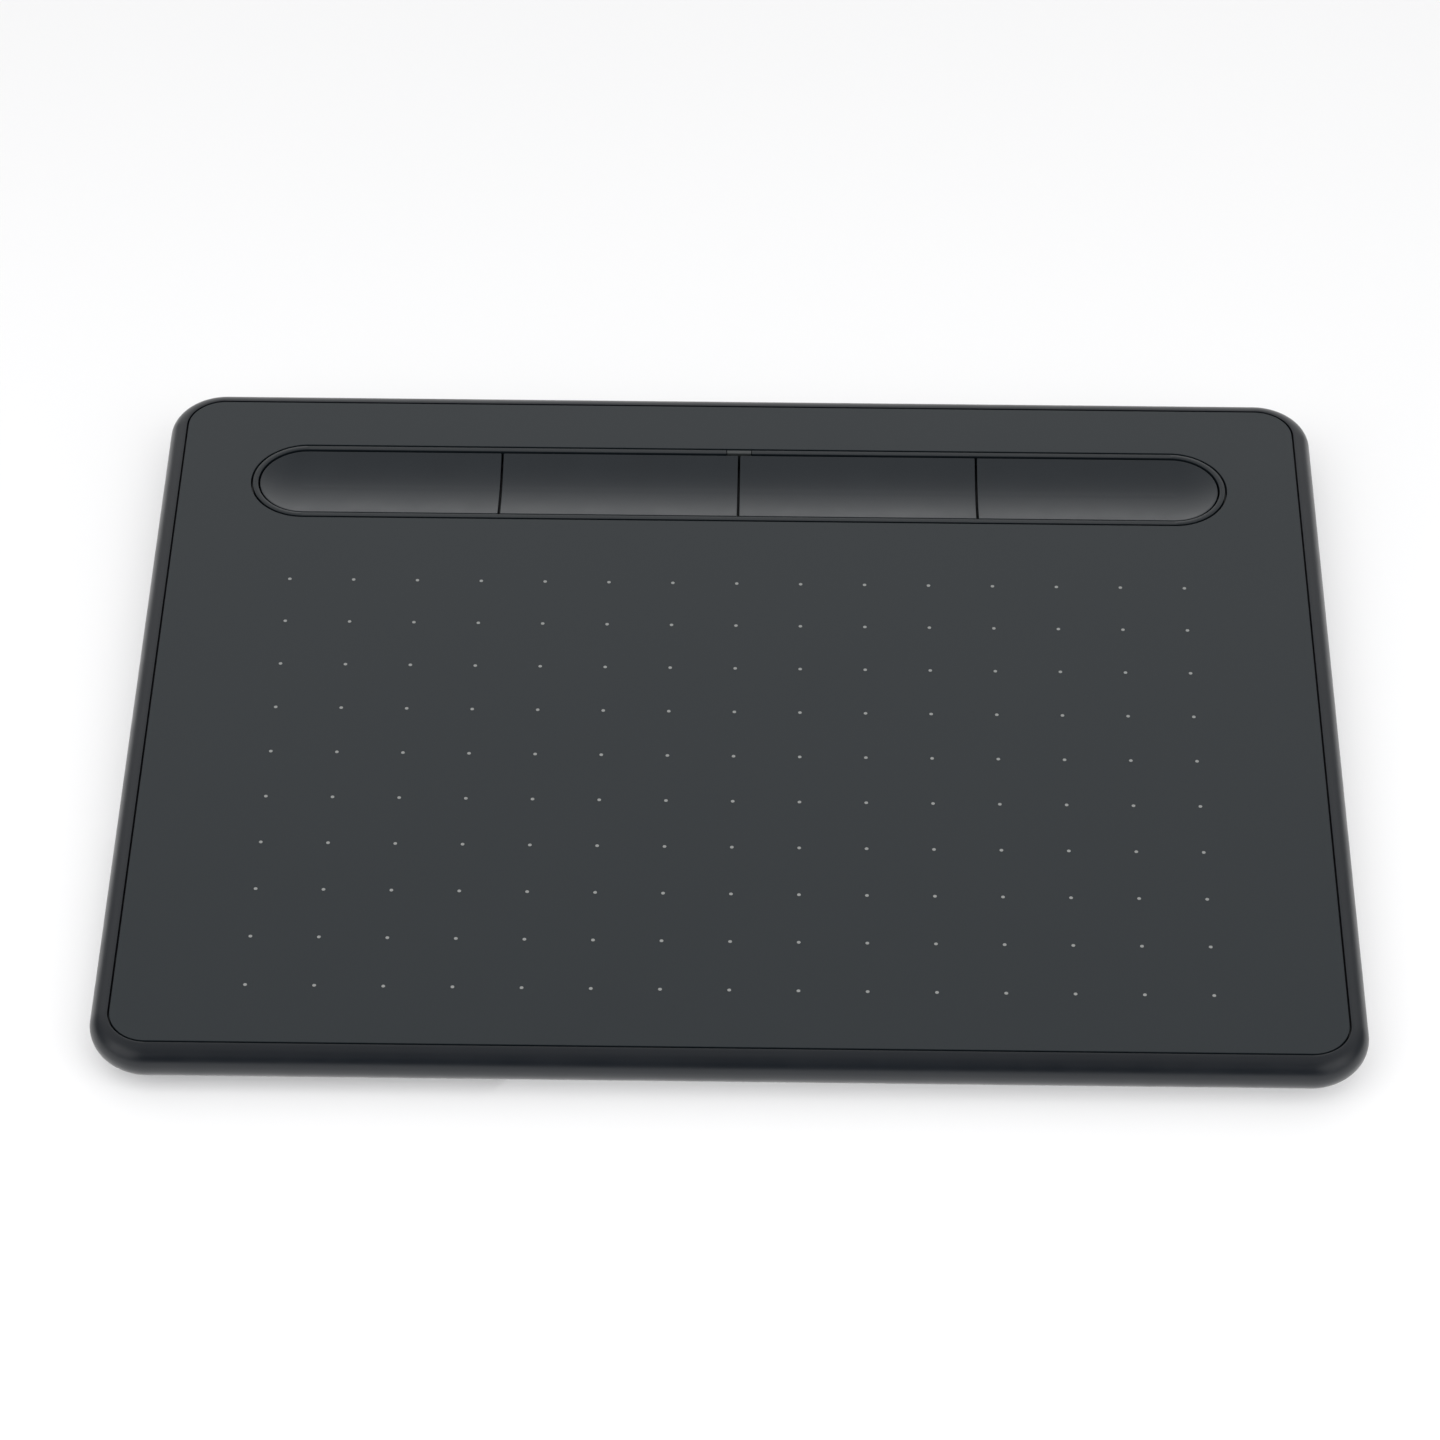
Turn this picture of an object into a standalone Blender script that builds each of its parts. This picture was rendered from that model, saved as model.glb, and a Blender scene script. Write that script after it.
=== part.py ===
"""A slim pen drawing tablet.

The frame has its origin at the centre of the footprint, on the table: +X to the right, +Y to the rear,
where the pen tray is, and +Z up. The tablet is a bullnose rear case with a flat drawing surface let into
it. Four shortcut keys stand in a stadium-shaped bezel behind the drawing area, and their dished tops form
the pen tray. Each key slides straight down on its own switch.
"""

import math

import bmesh
import bpy
from mathutils import Matrix, Vector

MM = 0.001
FIT = 0.3 * MM  # clearance between pieces that meet
MERGE = 1e-7
SHARP_ANGLE = math.radians(32)

# Outside
LENGTH = 200 * MM
DEPTH = 160 * MM
TOP = 8.8 * MM  # height of the drawing surface over the table
UNDERSIDE = 1.0 * MM
CORNER = 9.5 * MM  # plan radius of the outer corners
CORNER_STEPS = 7

# Rim: an upper and a lower quarter ellipse that meet at the widest line
WIDEST = 5.9 * MM  # height of the widest line
RIM_TOP_INSET = 2.75 * MM
RIM_UNDER_INSET = 6.4 * MM
UPPER_STEPS = 5
LOWER_STEPS = 4

# Case shell and the ledge that the drawing surface sits in
FLOOR_TOP = 2.4 * MM
LEDGE = 7.5 * MM
POCKET_INSET = 2.9 * MM  # from the widest outline to the edge round the drawing surface
CAVITY_INSET = 4.0 * MM
PANEL_THICKNESS = 1.0 * MM

# Pen tray, a stadium: every outline round it is an offset of the same centre line
TRAY_Y = 55.9 * MM
TRAY_HALF = 75.1 * MM  # half the length of the centre line
PANEL_CUTOUT_R = 9.54 * MM
BEZEL_R = 9.24 * MM
BEZEL_BORE_R = 8.27 * MM
FLANGE_R = 11.0 * MM
FLANGE_TOP = 7.5 * MM
BEZEL_BASE = 6.9 * MM
KEY_R = 7.97 * MM
TRAY_END_STEPS = 5  # arc steps in each quarter of a tray end

# Shortcut keys
KEY_GAP = 0.35 * MM
KEY_PITCH = 41.3 * MM  # between the gaps
KEY_BASE = 6.2 * MM
KEY_TOP = 8.6 * MM  # the keys' edges stand a little below the bezel
DISH_DEPTH = 1.4 * MM
DISH_RADII = (6.9, 5.6, 4.2, 2.6, 1.0)  # mm, rings of the dish, from its edge inwards
LUG_TOP = 6.6 * MM
LUG_REACH = 9.0 * MM
LUG_LENGTH = 8.0 * MM
PLUNGER_R = 2.0 * MM
PLUNGER_TIP = 5.5 * MM
PLUNGER_HOLE_R = 2.5 * MM

# Boards and switches
BOARD_BASE = FLOOR_TOP + FIT
BOARD_TOP = 3.5 * MM
PART_BASE = BOARD_TOP + FIT
SWITCH_TOP = 4.8 * MM
SWITCH_SIZE = 5.2 * MM
SWITCH_BORE_R = 1.5 * MM
SWITCH_BORE_BASE = 4.0 * MM
BUTTON_R = 1.2 * MM
BUTTON_BASE = 4.55 * MM
BUTTON_TOP = 5.2 * MM
KEY_BOARD_X = 84.0 * MM
KEY_BOARD_Y = (50.0 * MM, 60.0 * MM)
CONTROL_BOARD_X = 42.0 * MM
CONTROL_BOARD_Y = (60.5 * MM, 75.4 * MM)

# Plates
PLATE_X = 93.5 * MM
PLATE_TOP = 5.6 * MM
KEY_PLATE_BASE = 5.0 * MM
KEY_PLATE_HALF_Y = 11.3 * MM
FRAME_PLATE_BASE = 4.4 * MM
FRAME_Y = (-74.0 * MM, 43.5 * MM)
RIB_WIDTH = 1.2 * MM
RIB_X = 84.0 * MM
RIB_ROWS = (-64.0 * MM, -40.0 * MM, -16.0 * MM, 8.0 * MM)
SHIELD_X = 88.0 * MM
SHIELD_Y = (-71.0 * MM, 40.0 * MM)
SHIELD_BASE = 5.9 * MM
SHIELD_TOP = 6.2 * MM
DIGITIZER_X = 90.0 * MM
DIGITIZER_Y = (-73.0 * MM, 42.0 * MM)
DIGITIZER_BASE = 6.5 * MM
DIGITIZER_TOP = 7.5 * MM

# Status light
GUIDE_HALF_X = 2.1 * MM
GUIDE_Y = (TRAY_Y + BEZEL_BORE_R, TRAY_Y + BEZEL_R)
GUIDE_BASE = 4.6 * MM

# USB socket, in the middle of the rear edge
SOCKET_HALF_X = 3.75 * MM
SOCKET_Z = (3.1 * MM, 6.0 * MM)
SOCKET_Y = (73.1 * MM, 78.7 * MM)
SOCKET_WALL = 0.3 * MM
SOCKET_CHAMFER = 1.0 * MM
TONGUE_HALF_X = 1.8 * MM
TONGUE_Z = (4.7 * MM, 5.3 * MM)

# Feet and screws
FOOT_AT = (80.0 * MM, 65.0 * MM)
FOOT_HALF = (11.0 * MM, 3.5 * MM)
FOOT_EDGE = 0.4 * MM
FOOT_TOP = 1.2 * MM
SCREW_SPOTS = ((-89, -56), (0, -56), (89, -56), (-89, 56), (0, 36), (89, 56))  # mm, left to right
SCREW_HEAD_R = 1.9 * MM
SCREW_HEAD_Z = (1.2 * MM, 2.1 * MM)
SCREW_SHANK_R = 1.0 * MM
SCREW_TOP = 4.9 * MM
SCREW_BORE_R = 1.3 * MM
COUNTERBORE_R = 2.3 * MM
CASE_BOSS_R = 3.6 * MM
CASE_BOSS_TOP = 3.4 * MM
PLATE_BOSS_R = 2.8 * MM
PLATE_BOSS_BASE = 3.7 * MM
PLATE_BOSS_BORE_TOP = 5.2 * MM
CROSS_HALF = 1.1 * MM
CROSS_ARM = 0.25 * MM
CROSS_DEPTH = 0.45 * MM

ROUND_SIDES = 16
THROUGH = 1.0 * MM  # how far a cutter runs past what it cuts
BITE = 0.2 * MM  # how far a piece that is joined on reaches into its neighbour

# Finish of each material: base colour, roughness, metallic
FINISHES = {
    "case_plastic": ((0.022, 0.025, 0.029), 0.45, 0.0),
    "panel_plastic": ((0.045, 0.052, 0.056), 0.62, 0.0),
    "key_plastic": ((0.040, 0.045, 0.048), 0.40, 0.0),
    "frame_plastic": ((0.10, 0.10, 0.11), 0.60, 0.0),
    "light_guide": ((0.09, 0.095, 0.10), 0.30, 0.0),
    "board": ((0.02, 0.12, 0.07), 0.45, 0.0),
    "component": ((0.03, 0.03, 0.03), 0.40, 0.0),
    "connector": ((0.75, 0.72, 0.64), 0.50, 0.0),
    "ribbon": ((0.55, 0.30, 0.06), 0.40, 0.0),
    "led": ((0.85, 0.85, 0.80), 0.30, 0.0),
    "steel": ((0.62, 0.62, 0.63), 0.30, 1.0),
    "shield_aluminium": ((0.75, 0.76, 0.77), 0.35, 1.0),
    "black_steel": ((0.05, 0.05, 0.055), 0.40, 1.0),
    "rubber": ((0.03, 0.03, 0.032), 0.85, 0.0),
}


def clear_scene():
    """Remove what the file starts with."""
    for obj in list(bpy.data.objects):
        bpy.data.objects.remove(obj, do_unlink=True)


def new_collection(name):
    """A collection in the scene."""
    collection = bpy.data.collections.new(name)
    bpy.context.scene.collection.children.link(collection)
    return collection


def new_object(name, bm, collection):
    """The object of a finished bmesh, with merged points, faces that point out and smooth rounds."""
    bmesh.ops.remove_doubles(bm, verts=bm.verts, dist=MERGE)
    bmesh.ops.recalc_face_normals(bm, faces=bm.faces)
    mesh = bpy.data.meshes.new(name)
    bm.to_mesh(mesh)
    bm.free()
    mesh.shade_smooth()
    mesh.set_sharp_from_angle(angle=SHARP_ANGLE)
    obj = bpy.data.objects.new(name, mesh)
    collection.objects.link(obj)
    return obj


def rounded_outline(half_x, half_y, radius, z, steps=3):
    """A rectangle with round corners at height z, anticlockwise. A radius of half_y gives a stadium."""
    points = []
    for corner, (side_x, side_y) in enumerate(((1, 1), (-1, 1), (-1, -1), (1, -1))):
        for step in range(steps + 1):
            angle = math.pi / 2 * (corner + step / steps)
            x = side_x * (half_x - radius) + radius * math.cos(angle)
            y = side_y * (half_y - radius) + radius * math.sin(angle)
            points.append(Vector((x, y, z)))
    return points


def loft(name, rings, collection, at=(0, 0), closed=False):
    """Skin a stack of outlines with the same number of points. It is capped, or closed into a ring."""
    bm = bmesh.new()
    count = len(rings[0])
    rows = [[bm.verts.new(point) for point in ring] for ring in rings]
    pairs = list(zip(rows, rows[1:]))
    if closed:
        pairs.append((rows[-1], rows[0]))
    else:
        bm.faces.new(rows[0])
        bm.faces.new(rows[-1])
    for low, high in pairs:
        for i in range(count):
            j = (i + 1) % count
            bm.faces.new((low[i], low[j], high[j], high[i]))
    obj = new_object(name, bm, collection)
    obj.location = (at[0], at[1], 0)
    return obj


def slab(name, size, collection, at=(0, 0), radius=1 * MM, steps=3):
    """A flat plate with round plan corners. The size is half_x, half_y, low z, high z."""
    half_x, half_y, low, high = size
    rings = [rounded_outline(half_x, half_y, radius, z, steps) for z in (low, high)]
    return loft(name, rings, collection, at)


def block(name, low, high, collection):
    """A plain box between two corners."""
    low = Vector(low)
    high = Vector(high)
    bm = bmesh.new()
    bmesh.ops.create_cube(bm, size=1)
    bmesh.ops.scale(bm, vec=high - low, verts=bm.verts)
    obj = new_object(name, bm, collection)
    obj.location = (low + high) / 2
    return obj


def cylinder(name, radius, low, high, collection, at=(0, 0), sides=ROUND_SIDES):
    """An upright cylinder between two heights."""
    bm = bmesh.new()
    bmesh.ops.create_cone(
        bm, cap_ends=True, segments=sides, radius1=radius, radius2=radius, depth=high - low
    )
    obj = new_object(name, bm, collection)
    obj.location = (at[0], at[1], (low + high) / 2)
    return obj


def tray_outline(radius, z):
    """The stadium at this offset from the tray's centre line."""
    return rounded_outline(TRAY_HALF + radius, radius, radius, z, TRAY_END_STEPS)


def apply_boolean(obj, other, operation):
    """Combine an object with a helper, which stays as a wire guide."""
    modifier = obj.modifiers.new(other.name, "BOOLEAN")
    modifier.operation = operation
    modifier.solver = "EXACT"
    modifier.object = other
    other.hide_render = True
    other.display_type = "WIRE"


def cut(obj, cutter):
    """Take the cutter's shape out of the object."""
    apply_boolean(obj, cutter, "DIFFERENCE")


def add(obj, piece):
    """Join the piece onto the object."""
    apply_boolean(obj, piece, "UNION")


def keep_inside(obj, piece):
    """Keep only what lies inside the piece."""
    apply_boolean(obj, piece, "INTERSECT")


def paint(obj, finish):
    """Give the object its own material."""
    colour, roughness, metallic = FINISHES[finish]
    material = bpy.data.materials.new(obj.name + "_" + finish)
    material.use_nodes = True
    shader = material.node_tree.nodes["Principled BSDF"]
    shader.inputs["Base Color"].default_value = (*colour, 1.0)
    shader.inputs["Roughness"].default_value = roughness
    shader.inputs["Metallic"].default_value = metallic
    material.diffuse_color = (*colour, 1.0)
    obj.data.materials.append(material)


def case_outline(inset, z):
    """The outer outline of the case, moved in by inset."""
    half_x = LENGTH / 2 - inset
    half_y = DEPTH / 2 - inset
    return rounded_outline(half_x, half_y, CORNER - inset, z, CORNER_STEPS)


def case_rings():
    """The bullnose: two quarter ellipses, from the underside up to the rim's top edge."""
    rings = []
    for step in range(LOWER_STEPS):
        angle = math.pi / 2 * step / LOWER_STEPS
        inset = RIM_UNDER_INSET * (1 - math.sin(angle))
        rings.append(case_outline(inset, WIDEST - (WIDEST - UNDERSIDE) * math.cos(angle)))
    for step in range(UPPER_STEPS + 1):
        angle = math.pi / 2 * step / UPPER_STEPS
        inset = RIM_TOP_INSET * (1 - math.cos(angle))
        rings.append(case_outline(inset, WIDEST + (TOP - WIDEST) * math.sin(angle)))
    return rings


def socket_outline(grow, y):
    """The socket's section in an XZ plane: a rectangle whose two lower corners are cut off."""
    half_x = SOCKET_HALF_X + grow
    low = SOCKET_Z[0] - grow
    high = SOCKET_Z[1] + grow
    shoulder = low + SOCKET_CHAMFER
    foot = half_x - SOCKET_CHAMFER
    right = ((foot, low), (half_x, shoulder), (half_x, high))
    left = [(-x, z) for x, z in reversed(right)]
    return [Vector((x, y, z)) for x, z in (*right, *left)]


def make_rear_case(parts, cutters):
    """The lower shell: floor, bullnose rim, ledge, screw bosses, foot recesses and socket hole."""
    case = loft("rear_case", case_rings(), parts)
    cavity = [case_outline(CAVITY_INSET, z) for z in (FLOOR_TOP, TOP + THROUGH)]
    cut(case, loft("case_cavity", cavity, cutters))
    pocket = [case_outline(POCKET_INSET, z) for z in (LEDGE, TOP + THROUGH)]
    cut(case, loft("panel_pocket", pocket, cutters))
    for number, (x, y) in enumerate(SCREW_SPOTS, 1):
        at = (x * MM, y * MM)
        name = f"case_boss_{number}"
        add(case, cylinder(name, CASE_BOSS_R, FLOOR_TOP - BITE, CASE_BOSS_TOP, cutters, at))
        low = UNDERSIDE - THROUGH
        name = f"counterbore_{number}"
        cut(case, cylinder(name, COUNTERBORE_R, low, FLOOR_TOP, cutters, at))
        name = f"clearance_{number}"
        cut(case, cylinder(name, SCREW_BORE_R, low, CASE_BOSS_TOP + THROUGH, cutters, at))
    for name, at in foot_places():
        size = (FOOT_HALF[0] + FIT, FOOT_HALF[1] + FIT, UNDERSIDE - THROUGH, FOOT_TOP + FIT)
        cut(case, slab(name + "_recess", size, cutters, at, FOOT_HALF[1], 4))
    hole = [socket_outline(FIT, y) for y in (DEPTH / 2 - 2 * CAVITY_INSET, DEPTH / 2 + THROUGH)]
    cut(case, loft("socket_hole", hole, cutters))
    paint(case, "case_plastic")


def make_surface_panel(parts, cutters):
    """The flat drawing surface, with the stadium cut-out for the tray."""
    inset = POCKET_INSET + FIT
    rings = [case_outline(inset, z) for z in (TOP - PANEL_THICKNESS, TOP)]
    panel = loft("surface_panel", rings, parts)
    rings = [tray_outline(PANEL_CUTOUT_R, z) for z in (LEDGE, TOP + THROUGH)]
    cut(panel, loft("tray_cutout", rings, cutters, (0, TRAY_Y)))
    paint(panel, "panel_plastic")


def make_tray_bezel(parts, cutters):
    """The ring round the keys, with a flange that is bonded under the drawing surface."""
    sections = (
        (FLANGE_R, BEZEL_BASE),
        (FLANGE_R, FLANGE_TOP),
        (BEZEL_R, FLANGE_TOP),
        (BEZEL_R, TOP),
        (BEZEL_BORE_R, TOP),
        (BEZEL_BORE_R, BEZEL_BASE),
    )
    rings = [tray_outline(radius, z) for radius, z in sections]
    bezel = loft("tray_bezel", rings, parts, (0, TRAY_Y), closed=True)
    cut(bezel, guide_slot("bezel_light_slot", BEZEL_BASE, cutters))
    paint(bezel, "key_plastic")


def guide_slot(name, base, cutters):
    """The slot that the light guide passes through, with clearance all round."""
    low = (-GUIDE_HALF_X - FIT, GUIDE_Y[0] - 2 * FIT, base - THROUGH)
    high = (GUIDE_HALF_X + FIT, GUIDE_Y[1] + FIT, TOP + THROUGH)
    return block(name, low, high, cutters)


def dish_rings():
    """The key tops: an outer wall, then a shallow dish that is the same arc at the sides and the ends."""
    rings = [tray_outline(KEY_R, KEY_BASE), tray_outline(KEY_R, KEY_TOP)]
    for radius in DISH_RADII:
        depth = DISH_DEPTH * (1 - (radius * MM / KEY_R) ** 2)
        rings.append(tray_outline(radius * MM, KEY_TOP - depth))
    return rings


def key_span(number):
    """The low and high x of a key, numbered from the left."""
    low = (number - 3) * KEY_PITCH + KEY_GAP / 2
    high = (number - 2) * KEY_PITCH - KEY_GAP / 2
    if number == 1:
        low = -TRAY_HALF - KEY_R
    if number == 4:
        high = TRAY_HALF + KEY_R
    return low, high


def make_key(number, parts, cutters):
    """One shortcut key with its switch and the switch's button, on an empty that marks the slide."""
    low, high = key_span(number)
    middle = (low + high) / 2
    at = (middle, TRAY_Y)
    slide = bpy.data.objects.new(f"key_{number}_slide", None)
    slide.location = (middle, TRAY_Y, TOP)
    parts.objects.link(slide)

    key = loft(f"shortcut_key_{number}", dish_rings(), parts)
    key.data.transform(Matrix.Translation((-middle, 0, -TOP)))
    key.parent = slide
    reach = KEY_R + THROUGH
    ends = (THROUGH if number == 1 else 0, THROUGH if number == 4 else 0)
    corner_low = (low - ends[0], TRAY_Y - reach, KEY_BASE - THROUGH)
    corner_high = (high + ends[1], TRAY_Y + reach, TOP + THROUGH)
    keep_inside(key, block(f"key_{number}_span", corner_low, corner_high, cutters))
    name = f"key_{number}_plunger"
    add(key, cylinder(name, PLUNGER_R, PLUNGER_TIP, KEY_BASE + BITE, cutters, at, 12))
    corner_low = (middle - LUG_LENGTH / 2, TRAY_Y - LUG_REACH, KEY_BASE)
    corner_high = (middle + LUG_LENGTH / 2, TRAY_Y + LUG_REACH, LUG_TOP)
    add(key, block(f"key_{number}_lugs", corner_low, corner_high, cutters))
    paint(key, "key_plastic")

    button = cylinder(f"switch_button_{number}", BUTTON_R, BUTTON_BASE, BUTTON_TOP, parts, at, 12)
    button.location = (0, 0, (BUTTON_BASE + BUTTON_TOP) / 2 - TOP)
    button.parent = slide
    paint(button, "connector")

    size = (SWITCH_SIZE / 2, SWITCH_SIZE / 2, PART_BASE, SWITCH_TOP)
    switch = slab(f"switch_body_{number}", size, parts, at, 0.5 * MM, 2)
    name = f"switch_{number}_bore"
    cut(switch, cylinder(name, SWITCH_BORE_R, SWITCH_BORE_BASE, SWITCH_TOP + THROUGH, cutters, at, 12))
    paint(switch, "component")


def add_boss(plate, number, cutters):
    """A boss under a plate with a blind bore for a case screw."""
    x, y = SCREW_SPOTS[number - 1]
    at = (x * MM, y * MM)
    name = f"plate_boss_{number}"
    add(plate, cylinder(name, PLATE_BOSS_R, PLATE_BOSS_BASE, KEY_PLATE_BASE + BITE, cutters, at))
    name = f"plate_bore_{number}"
    low = PLATE_BOSS_BASE - THROUGH
    cut(plate, cylinder(name, SCREW_BORE_R, low, PLATE_BOSS_BORE_TOP, cutters, at))


def make_key_base(parts, cutters):
    """The plate under the keys: it stops their travel and is screwed to the case at both ends."""
    size = (PLATE_X, KEY_PLATE_HALF_Y, KEY_PLATE_BASE, PLATE_TOP)
    plate = slab("key_base", size, parts, (0, TRAY_Y), 4 * MM, 4)
    for number in range(1, 5):
        at = (sum(key_span(number)) / 2, TRAY_Y)
        low = KEY_PLATE_BASE - THROUGH
        name = f"plunger_hole_{number}"
        cut(plate, cylinder(name, PLUNGER_HOLE_R, low, PLATE_TOP + THROUGH, cutters, at))
    cut(plate, guide_slot("plate_light_slot", KEY_PLATE_BASE, cutters))
    for number in (4, 6):
        add_boss(plate, number, cutters)
    paint(plate, "frame_plastic")


def make_support_frame(parts, cutters):
    """The ribbed plate that carries the digitizer board and takes the other four screws."""
    middle = sum(FRAME_Y) / 2
    size = (PLATE_X, (FRAME_Y[1] - FRAME_Y[0]) / 2, FRAME_PLATE_BASE, PLATE_TOP)
    frame = slab("support_frame", size, parts, (0, middle), 3 * MM, 4)
    for row, y in enumerate(RIB_ROWS, 1):
        low = (-RIB_X, y - RIB_WIDTH / 2, FLOOR_TOP + FIT)
        high = (RIB_X, y + RIB_WIDTH / 2, FRAME_PLATE_BASE + BITE)
        add(frame, block(f"frame_rib_{row}", low, high, cutters))
    for number in (1, 2, 3, 5):
        add_boss(frame, number, cutters)
    paint(frame, "frame_plastic")


def board(name, half_x, span_y, heights, finish, parts):
    """A flat sheet between two y values, centred on x = 0."""
    size = (half_x, (span_y[1] - span_y[0]) / 2, heights[0], heights[1])
    sheet = slab(name, size, parts, (0, sum(span_y) / 2), 1.5 * MM)
    paint(sheet, finish)
    return sheet


def make_boards(parts, cutters):
    """The sensor board, its shield, and the two boards at the rear."""
    board("digitizer_board", DIGITIZER_X, DIGITIZER_Y, (DIGITIZER_BASE, DIGITIZER_TOP), "board", parts)
    board("shield_sheet", SHIELD_X, SHIELD_Y, (SHIELD_BASE, SHIELD_TOP), "shield_aluminium", parts)
    board("key_switch_board", KEY_BOARD_X, KEY_BOARD_Y, (BOARD_BASE, BOARD_TOP), "board", parts)
    control = board(
        "control_board", CONTROL_BOARD_X, CONTROL_BOARD_Y, (BOARD_BASE, BOARD_TOP), "board", parts
    )
    low = (-SOCKET_HALF_X - FIT, SOCKET_Y[0] - FIT, BOARD_BASE - THROUGH)
    high = (SOCKET_HALF_X + FIT, CONTROL_BOARD_Y[1] + THROUGH, BOARD_TOP + THROUGH)
    cut(control, block("socket_notch", low, high, cutters))


def component(name, half_x, half_y, height, at, finish, parts):
    """A small part on a board."""
    size = (half_x * MM, half_y * MM, PART_BASE, PART_BASE + height * MM)
    piece = slab(name, size, parts, (at[0] * MM, at[1] * MM), 0.2 * MM, 1)
    paint(piece, finish)


def make_components(parts):
    """Chips, crystal, status light and ribbon connectors on the control board."""
    component("controller_chip", 3.5, 3.5, 0.9, (-18, 68), "component", parts)
    component("pen_signal_chip", 2.5, 2.5, 0.9, (18, 68), "component", parts)
    component("crystal", 1.6, 1.25, 0.7, (-10, 70), "steel", parts)
    component("status_led", 0.8, 0.4, 0.5, (0, 64.75), "led", parts)
    component("key_connector", 5.0, 1.5, 1.0, (-34, 63), "connector", parts)
    component("sensor_connector", 6.0, 1.5, 1.0, (34, 63), "connector", parts)


def ribbon(name, x, half_width, route, parts):
    """A flat cable: a folded strip that follows (y, z) points in mm, given thickness."""
    bm = bmesh.new()
    rows = []
    for y, z in route:
        left = bm.verts.new(((x - half_width) * MM, y * MM, z * MM))
        right = bm.verts.new(((x + half_width) * MM, y * MM, z * MM))
        rows.append((left, right))
    for near, far in zip(rows, rows[1:]):
        bm.faces.new((near[0], near[1], far[1], far[0]))
    strip = new_object(name, bm, parts)
    thickness = strip.modifiers.new("thickness", "SOLIDIFY")
    thickness.thickness = 0.2 * MM
    thickness.offset = 0
    paint(strip, "ribbon")


def make_ribbons(parts):
    """The sensor cable drops from the digitizer board and runs back under the keys; the other is short."""
    drop = ((40.6, 6.1), (43.2, 6.1), (44.05, 5.3), (44.05, 4.9), (44.8, 4.1), (61.2, 4.1))
    ribbon("sensor_ribbon", 34, 5, drop, parts)
    ribbon("key_ribbon", -34, 4, ((56, 3.9), (58.5, 3.9), (60, 4.1), (61.2, 4.1)), parts)


def make_light_guide(parts):
    """The clear bar that carries the status light up to the bezel."""
    low = (-GUIDE_HALF_X, GUIDE_Y[0], GUIDE_BASE)
    high = (GUIDE_HALF_X, GUIDE_Y[1], TOP)
    guide = block("status_light_guide", low, high, parts)
    paint(guide, "light_guide")


def make_usb_socket(parts, cutters):
    """A steel shell, open to the rear, with a plastic tongue inside."""
    shell = loft("usb_socket_shell", [socket_outline(0, y) for y in SOCKET_Y], parts)
    inner = [socket_outline(-SOCKET_WALL, y) for y in (SOCKET_Y[0] + SOCKET_WALL, SOCKET_Y[1] + THROUGH)]
    cut(shell, loft("socket_inside", inner, cutters))
    paint(shell, "steel")
    low = (-TONGUE_HALF_X, SOCKET_Y[0] + SOCKET_WALL + FIT, TONGUE_Z[0])
    high = (TONGUE_HALF_X, SOCKET_Y[1] - 0.6 * MM, TONGUE_Z[1])
    tongue = block("usb_socket_tongue", low, high, parts)
    paint(tongue, "component")


def foot_places():
    """Name and place of each foot."""
    return [
        (f"foot_{end}_{side}", (x * FOOT_AT[0], y * FOOT_AT[1]))
        for end, y in (("front", -1), ("rear", 1))
        for side, x in (("left", -1), ("right", 1))
    ]


def make_feet(parts):
    """Four rubber pads with rounded lower edges, let into the underside."""
    for name, at in foot_places():
        rings = []
        for inset, z in ((FOOT_EDGE, 0), (0, FOOT_EDGE), (0, FOOT_TOP)):
            half_y = FOOT_HALF[1] - inset
            rings.append(rounded_outline(FOOT_HALF[0] - inset, half_y, half_y, z, 4))
        foot = loft(name, rings, parts, at)
        paint(foot, "rubber")


def cross_outline(z):
    """The plus shape of a cross recess."""
    quarter = ((CROSS_HALF, -CROSS_ARM), (CROSS_HALF, CROSS_ARM), (CROSS_ARM, CROSS_ARM))
    turns = [Matrix.Rotation(math.pi / 2 * turn, 3, "Z") for turn in range(4)]
    return [turn @ Vector((x, y, z)) for turn in turns for x, y in quarter]


def make_screws(parts, cutters):
    """Pan-head screws driven up from the underside."""
    for number, (x, y) in enumerate(SCREW_SPOTS, 1):
        at = (x * MM, y * MM)
        screw = cylinder(f"case_screw_{number}", SCREW_HEAD_R, *SCREW_HEAD_Z, parts, at)
        low = SCREW_HEAD_Z[1] - BITE
        add(screw, cylinder(f"shank_{number}", SCREW_SHANK_R, low, SCREW_TOP, cutters, at, 12))
        recess = [cross_outline(z) for z in (UNDERSIDE - THROUGH, SCREW_HEAD_Z[0] + CROSS_DEPTH)]
        cut(screw, loft(f"cross_{number}", recess, cutters, at))
        paint(screw, "black_steel")


def main():
    clear_scene()
    parts = new_collection("pen_drawing_tablet")
    cutters = new_collection("cutters")
    make_rear_case(parts, cutters)
    make_surface_panel(parts, cutters)
    make_tray_bezel(parts, cutters)
    for number in range(1, 5):
        make_key(number, parts, cutters)
    make_key_base(parts, cutters)
    make_support_frame(parts, cutters)
    make_boards(parts, cutters)
    make_components(parts)
    make_ribbons(parts)
    make_light_guide(parts)
    make_usb_socket(parts, cutters)
    make_feet(parts)
    make_screws(parts, cutters)


main()
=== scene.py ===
"""The looks of a slim pen drawing tablet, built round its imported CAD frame.

+X is to the right, +Y to the rear, where the pen tray is, and +Z up, in metres. The outside of the tablet
is rebuilt here in fine meshes at the places that the frame gives, and every piece gets a procedural material.
"""

import math

import bmesh
import bpy
from mathutils import Matrix, Vector


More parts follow.
